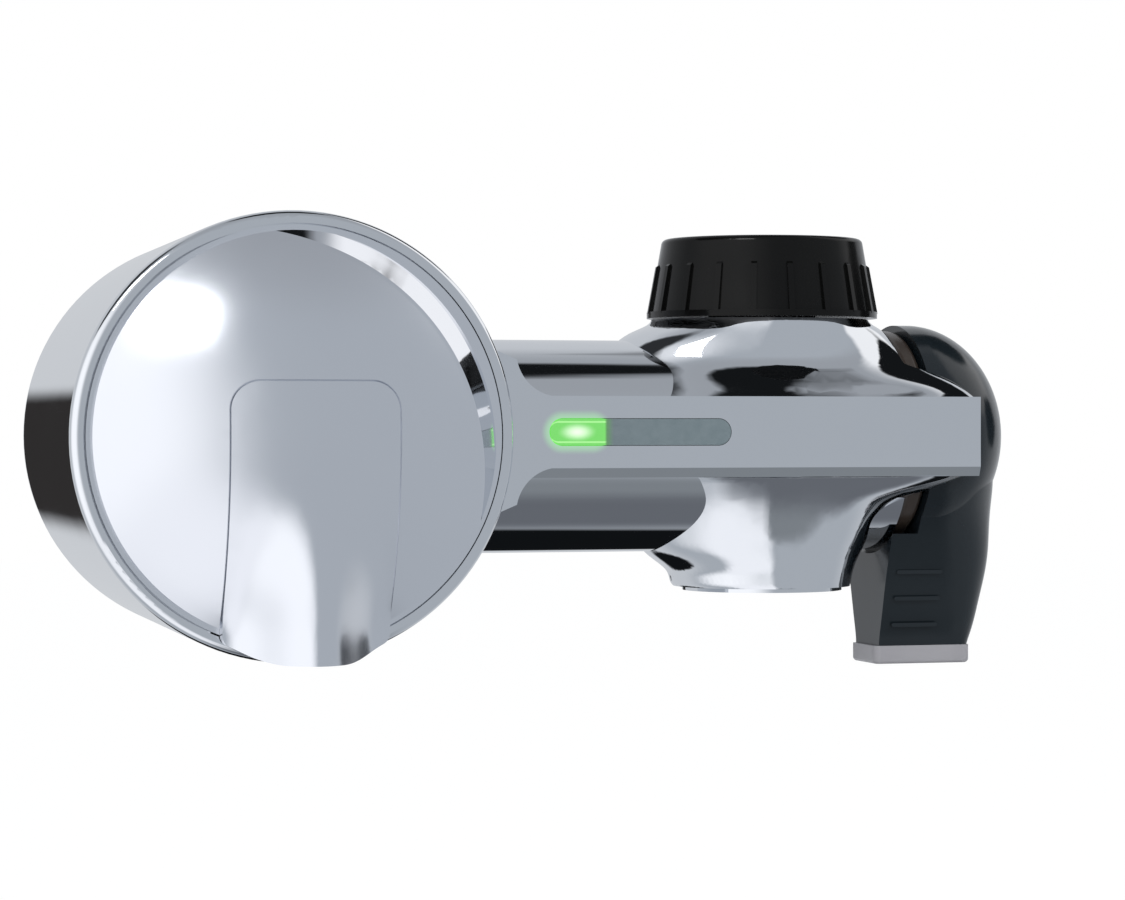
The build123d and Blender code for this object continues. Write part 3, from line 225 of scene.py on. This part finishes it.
def band_chrome():
    """The shell's chrome, with the lamp's green light spilt round the lit end of the window."""
    material = plated("chrome_shell", (0.77, 0.79, 0.82), (0.81, 0.83, 0.86), 0.035, 0.06)
    tree = material.node_tree
    shader = principled(material)
    x, y, z = object_place(tree)
    mask = glow_mask(tree, x, z, WINDOW_LEFT, LIT_RIGHT, WINDOW_MIDDLE, WINDOW_HALF, GLOW_REACH)
    front = smooth(tree, y, WINDOW_LOW.y + 0.001, WINDOW_LOW.y + 0.003, 1.0, 0.0)
    tree.links.new(maths(tree, "MULTIPLY", maths(tree, "MULTIPLY", mask, front), SPILT_LEVEL),
                   shader.inputs["Emission Strength"])
    shader.inputs["Emission Color"].default_value = colour(*SPILT_GREEN)
    return material


# The cap's bevel: a cone at 45 degrees, its axis off the dome's
CAP_FLANGE_Y = -28.4 * MM
BEVEL_X, BEVEL_Z, BEVEL_R = -92.62 * MM, -28.81 * MM, 36.4 * MM
BEVEL_EDGE = (-0.4 * MM, -0.1 * MM)
BEVEL_ROUGHNESS = 0.05


def cap_chrome():
    """The cap's satin chrome, polished on its bevel and rim."""
    material = plated("chrome_cap", (0.78, 0.80, 0.845), (0.82, 0.84, 0.88), 0.17, 0.21, 0.000006)
    tree = material.node_tree
    shader = principled(material)
    satin = shader.inputs["Roughness"].links[0].from_socket
    x, y, z = object_place(tree)
    away = distance(tree, maths(tree, "SUBTRACT", x, BEVEL_X), maths(tree, "SUBTRACT", z, BEVEL_Z))
    over = maths(tree, "ADD", away, maths(tree, "SUBTRACT", CAP_FLANGE_Y, y))
    share = smooth(tree, over, BEVEL_R + BEVEL_EDGE[0], BEVEL_R + BEVEL_EDGE[1])
    rough = add(tree, "ShaderNodeMix", {0: share, 2: satin, 3: BEVEL_ROUGHNESS}, data_type="FLOAT")
    tree.links.new(rough.outputs[0], shader.inputs["Roughness"])
    return material


def window_lens():
    """Smoked lens: faint lamps behind it and its left end lit green with a white centre."""
    material = bpy.data.materials.new("window_lens")
    tree = new_tree(material)
    x, _, z = object_place(tree)
    lit = smooth(tree, x, LIT_RIGHT - 0.0002, LIT_RIGHT + 0.0003, 1.0, 0.0)
    spill = smooth(tree, x, LIT_RIGHT, LIT_RIGHT + GLOW_REACH, 1.0, 0.0)
    heart_x = maths(tree, "DIVIDE", maths(tree, "SUBTRACT", x, HEART_X), HEART_HALF_LENGTH)
    heart_z = maths(tree, "DIVIDE", maths(tree, "SUBTRACT", z, WINDOW_MIDDLE), HEART_HALF_HEIGHT)
    heart = smooth(tree, distance(tree, heart_x, heart_z), 0.0, 1.0, 1.0, 0.0)
    # Painted highlight: a thin pale green line along the inner edge of the lit end, mixed into the glow
    # colour
    highlight_outer_half = WINDOW_HALF - HIGHLIGHT_INSET
    inner, outer = [
        glow_mask(tree, x, z, WINDOW_LEFT, LIT_RIGHT + HIGHLIGHT_PAST_LIT, WINDOW_MIDDLE, half, 0.0002)
        for half in (highlight_outer_half - HIGHLIGHT_WIDTH, highlight_outer_half)]
    highlight_line = maths(tree, "SUBTRACT", outer, inner)
    green = blend_colour(tree, maths(tree, "MULTIPLY", highlight_line, 0.65), colour(*GLOW_GREEN),
                         colour(*HIGHLIGHT_LINE_GREEN))
    shine = blend_colour(tree, heart, green, colour(*HEART_WHITE))
    wave = noise(tree, 700.0, 1.0)
    tint = blend_colour(tree, wave, colour(*LENS_TINTS[0]), colour(*LENS_TINTS[1]))
    base = blend_colour(tree, maths(tree, "MULTIPLY", spill, 0.6), tint, colour(*LENS_SPILT_GREEN))
    surface(tree, {
        "Base Color": base,
        "Roughness": 0.12,
        "Coat Weight": 0.6,
        "Coat Roughness": 0.04,
        "Emission Color": shine,
        "Emission Strength": maths(tree, "MULTIPLY", lit, LIT_LEVEL),
        "Normal": bump(tree, wave, 0.1, 0.00005),
    })
    return material


def brushed(name, dark, light, stretch):
    """Stainless steel with a drawn grain."""
    material = bpy.data.materials.new(name)
    tree = new_tree(material)
    grain = noise(tree, 600.0, 4.0, stretch)
    surface(tree, {
        "Base Color": blend_colour(tree, grain, colour(*dark), colour(*light)),
        "Metallic": 1.0,
        "Roughness": smooth(tree, grain, 0.3, 0.7, 0.18, 0.34),
        "Normal": bump(tree, grain, 0.25, 0.00002),
    })
    return material


def pressed_carbon():
    """Granular pressed carbon."""
    material = bpy.data.materials.new("pressed_carbon")
    tree = new_tree(material)
    place = add(tree, "ShaderNodeTexCoord").outputs["Object"]
    grains = add(tree, "ShaderNodeTexVoronoi", {"Vector": place, "Scale": 1400.0}).outputs["Distance"]
    surface(tree, {
        "Base Color": blend_colour(tree, grains, colour(0.012, 0.012, 0.013), colour(0.05, 0.05, 0.052)),
        "Roughness": smooth(tree, grains, 0.0, 0.6, 0.9, 0.6),
        "Normal": bump(tree, grains, 0.6, 0.0003),
    })
    return material


def filter_cloth():
    """Non-woven cloth of crossed fibres."""
    material = bpy.data.materials.new("filter_cloth")
    tree = new_tree(material)
    one_way = noise(tree, 900.0, 3.0, (1, 0.15, 1))
    other_way = noise(tree, 900.0, 3.0, (0.15, 1, 1))
    fibres = maths(tree, "ADD", one_way, other_way)
    surface(tree, {
        "Base Color": blend_colour(tree, one_way, colour(0.80, 0.80, 0.77), colour(0.93, 0.93, 0.91)),
        "Roughness": smooth(tree, other_way, 0.3, 0.7, 0.8, 0.95),
        "Sheen Weight": 0.3,
        "Normal": bump(tree, fibres, 0.6, 0.0002),
    })
    return material


def dress(material, *names):
    """Gives CAD nodes a finish on their own slots."""
    for name in names:
        mesh = nodes[name].data
        if not mesh.materials:
            mesh.materials.append(material)
        for index in range(len(mesh.materials)):
            mesh.materials[index] = material


# Finishes
POLISHED = plated("chrome_polished", (0.77, 0.79, 0.82), (0.81, 0.83, 0.86), 0.03, 0.055)
SATIN = plated("chrome_satin", (0.78, 0.80, 0.845), (0.82, 0.84, 0.88), 0.17, 0.21, 0.000006)
BLACK = moulded("black_moulding", (0.003, 0.003, 0.003), (0.007, 0.007, 0.0065), 0.10, 0.18,
                extra={"Specular IOR Level": 0.16})
LEVER = moulded("lever_gloss", (0.008, 0.012, 0.015), (0.012, 0.017, 0.021), 0.14, 0.18, depth=0.000006,
                extra={"Coat Weight": 0.25, "Coat Roughness": 0.11, "Specular IOR Level": 0.25})
COLLAR = moulded("collar_moulding", (0.030, 0.022, 0.018), (0.05, 0.038, 0.030), 0.22, 0.34)
TIP = moulded("tip_grey", (0.40, 0.39, 0.41), (0.50, 0.49, 0.51), 0.16, 0.26,
              extra={"Transmission Weight": 0.25, "IOR": 1.49})
WHITE = moulded("white_moulding", (0.78, 0.79, 0.79), (0.86, 0.87, 0.87), 0.35, 0.5)
BLUE = moulded("blue_moulding", (0.07, 0.20, 0.46), (0.10, 0.27, 0.56), 0.32, 0.46)
RUBBER = moulded("seal_rubber", (0.018, 0.018, 0.018), (0.035, 0.035, 0.034), 0.5, 0.7, 1500.0, 0.00004)
BOARD = moulded("circuit_board_green", (0.02, 0.14, 0.06), (0.04, 0.22, 0.09), 0.3, 0.42)
LAMP = moulded("lamp_clear", (0.62, 0.70, 0.60), (0.75, 0.82, 0.72), 0.1, 0.16,
               extra={"Transmission Weight": 0.4})
STEEL = brushed("stainless", (0.56, 0.56, 0.57), (0.70, 0.70, 0.71), (1, 1, 12))

dress(band_chrome(), "body_shell")
dress(POLISHED, "drum_housing", "aerator_housing", "battery_cover")
dress(cap_chrome(), "front_cap")
dress(SATIN, "spout_panel")
dress(BLACK, "mounting_nut")
dress(LEVER, "lever", "screw_plug")
dress(COLLAR, "valve_collar")
dress(TIP, "lever_tip")
dress(WHITE, "inlet_stem", "valve_body", "drum_tube", "axle_spider", "valve_spool", "aerator_insert",
      "cell_tray", "cartridge_shell", "filter_core")
dress(BLUE, "flow_turbine", "cartridge_lid")
dress(RUBBER, "inlet_washer", "spool_seals", "aerator_washer", "cap_seal", "spigot_seal")
dress(STEEL, "inlet_screen", "turbine_axle", "lever_screw", "coin_cell", "battery_screw", "drum_screws")
dress(BOARD, "circuit_board")
dress(LAMP, "indicator_lamps")
dress(window_lens(), "indicator_lens")
dress(pressed_carbon(), "carbon_block")
dress(filter_cloth(), "pleated_wrap")


def nut_thread():
    """The fine thread inside the nut: one ridge wound up its bore."""
    bore_r, crest_r = 11.45 * MM, 11.15 * MM
    pitch, turns, steps = 0.94 * MM, 7.0, 60
    foot_half, crest_half = 0.36 * pitch, 0.05 * pitch
    start_z = 0.5 * MM
    mesh = bmesh.new()
    rows = []
    for step in range(int(turns * steps) + 1):
        angle = 2 * pi * step / steps
        rise = start_z + pitch * step / steps
        fade = min(1.0, step / steps, turns - step / steps)
        inner = bore_r - (bore_r - crest_r) * fade
        section = ((bore_r, -foot_half), (inner, -crest_half), (inner, crest_half),
                   (bore_r, foot_half))
        rows.append([mesh.verts.new((r * cos(angle), r * sin(angle), rise + dz)) for r, dz in section])
    for here, there in zip(rows, rows[1:]):
        for corner in range(4):
            after = (corner + 1) % 4
            mesh.faces.new((here[corner], here[after], there[after], there[corner]))
    mesh.faces.new(rows[0])
    mesh.faces.new(list(reversed(rows[-1])))
    bmesh.ops.recalc_face_normals(mesh, faces=mesh.faces)
    data = bpy.data.meshes.new("nut_thread")
    mesh.to_mesh(data)
    mesh.free()
    piece = bpy.data.objects.new("nut_thread", data)
    bpy.context.scene.collection.objects.link(piece)
    data.materials.append(BLACK)
    for face in data.polygons:
        face.use_smooth = True
    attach(piece, "nut")


nut_thread()


# Studio: each patch has a direction, the half angles where it is full and where it ends, in degrees,
# and a level. RAGGED roughens the patches' edges.
RAGGED = 0.02
STUDIO_BASE = (0.45, 0.48, 0.52)
STUDIO_PATCHES = (
    ("back", (0.1, 1.0, 0.12), 55, 95, (0.62, 0.64, 0.67)),
    ("above", (0.15, -0.1, 1.0), 15, 50, (0.38, 0.40, 0.43)),
    ("left", (-0.85, -0.52, 0.0), 16, 60, (1.15, 1.16, 1.19)),
    ("low_left", (-0.35, -0.70, -0.62), 8, 34, (1.05, 1.06, 1.10)),
    ("low_front", (0.24, -0.62, -0.74), 8, 22, (0.24, 0.26, 0.28)),
    ("under", (0.20, -0.20, -0.96), 12, 30, (0.15, 0.16, 0.18)),
    ("nadir", (0.12, 0.62, -0.78), 25, 30, (0.006, 0.007, 0.008)),
    ("high_left", (-0.64, 0.04, 0.77), 14, 22, (0.03, 0.032, 0.035)),
    ("high_right", (0.78, 0.15, 0.60), 22, 30, (1.05, 1.05, 1.06)),
    ("high_back", (0.55, 0.42, 0.72), 14, 17, (0.008, 0.009, 0.010)),
    ("zenith", (0.12, 0.02, 1.0), 11, 16, (0.008, 0.009, 0.010)),
    ("right_back", (0.95, 0.28, 0.10), 9, 13, (0.02, 0.022, 0.025)),
    ("back_left", (-0.13, 0.985, -0.05), 6.5, 8.5, (0.03, 0.028, 0.028)),
)


def studio_world():
    """White to the camera; a pale studio with dark flags to everything else."""
    world = bpy.data.worlds.new("studio")
    bpy.context.scene.world = world
    world.use_nodes = True
    tree = world.node_tree
    tree.nodes.clear()
    way = add(tree, "ShaderNodeTexCoord").outputs["Generated"]
    ragged = add(tree, "ShaderNodeTexNoise", {"Vector": way, "Scale": 9.0, "Detail": 2.0})
    wobble = maths(tree, "MULTIPLY_ADD", ragged.outputs["Fac"], RAGGED)
    wobble.node.inputs[2].default_value = -RAGGED / 2
    light = add(tree, "ShaderNodeRGB").outputs[0]
    light.default_value = colour(*STUDIO_BASE)
    for _, towards, full, ends, level in STUDIO_PATCHES:
        axis = Vector(towards).normalized()
        near = add(tree, "ShaderNodeVectorMath", {0: way, 1: axis}, operation="DOT_PRODUCT")
        mask = smooth(tree, maths(tree, "ADD", near.outputs["Value"], wobble),
                      cos(radians(ends)), cos(radians(full)))
        light = blend_colour(tree, mask, light, colour(*level))
    seen = add(tree, "ShaderNodeLightPath").outputs["Is Camera Ray"]
    sky = blend_colour(tree, seen, light, colour(1, 1, 1))
    back = add(tree, "ShaderNodeBackground", {"Color": sky, "Strength": 1.0})
    add(tree, "ShaderNodeOutputWorld", {"Surface": back.outputs[0]})


def pale_floor():
    """A plain pale floor, white to the camera but for the part's own soft shadow."""
    level = cad_low.z - FLOOR_DROP
    bpy.ops.mesh.primitive_plane_add(size=FLOOR_SIZE, location=(0, 0, level))
    floor = bpy.context.object
    floor.name = "floor"
    material = bpy.data.materials.new("floor_paper")
    tree = new_tree(material)
    tone = blend_colour(tree, noise(tree, 3.0, 2.0), colour(*PAPER_TONES[0]), colour(*PAPER_TONES[1]))
    paper = add(tree, "ShaderNodeBsdfDiffuse", {"Color": tone}).outputs[0]
    glow = add(tree, "ShaderNodeEmission", {"Color": colour(1, 1, 1), "Strength": FLOOR_WHITE}).outputs[0]
    seen = add(tree, "ShaderNodeLightPath").outputs["Is Camera Ray"]
    share = maths(tree, "MULTIPLY", seen, FLOOR_WHITE_SHARE)
    mixed = add(tree, "ShaderNodeMixShader", {0: share, 1: paper, 2: glow}).outputs[0]
    add(tree, "ShaderNodeOutputMaterial", {"Surface": mixed})
    floor.data.materials.append(material)
    floor.visible_glossy = False


def softbox(name, place, aim, width, height, power):
    """A rectangular lamp that looks at a point."""
    data = bpy.data.lights.new(name, "AREA")
    data.shape = "RECTANGLE"
    data.size, data.size_y, data.energy = width, height, power
    lamp = bpy.data.objects.new(name, data)
    bpy.context.scene.collection.objects.link(lamp)
    lamp.location = place
    lamp.rotation_mode = "QUATERNION"
    lamp.rotation_quaternion = (Vector(aim) - Vector(place)).to_track_quat("-Z", "Y")
    return lamp


def lights():
    """A small key for the dome's highlight and a wide fill that no plate mirrors."""
    cap = sum(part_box("front_cap"), Vector()) / 2
    softbox("key", cap + KEY_WAY.normalized() * KEY_AWAY, cap, *KEY_SIZE, KEY_WATTS)
    middle = (cad_low + cad_high) / 2
    fill = softbox("fill", middle + FILL_WAY.normalized() * FILL_AWAY, middle, *FILL_SIZE, FILL_WATTS)
    fill.visible_glossy = False


def camera():
    """The photograph's viewpoint and framing."""
    data = bpy.data.cameras.new("camera")
    data.sensor_width = SENSOR_MM
    data.lens = FOCAL_PX / PHOTO_WIDTH * SENSOR_MM
    data.shift_y = EYE_LEVEL_DROP_PX / PHOTO_WIDTH
    data.clip_start, data.clip_end = 0.01, 50.0
    view = bpy.data.objects.new("camera", data)
    bpy.context.scene.collection.objects.link(view)
    view.location = EYE
    view.rotation_mode = "QUATERNION"
    view.rotation_quaternion = (AIM - EYE).to_track_quat("-Z", "Y")
    bpy.context.scene.camera = view


pale_floor()
lights()
studio_world()
camera()
bpy.context.scene.view_settings.view_transform = "Standard"
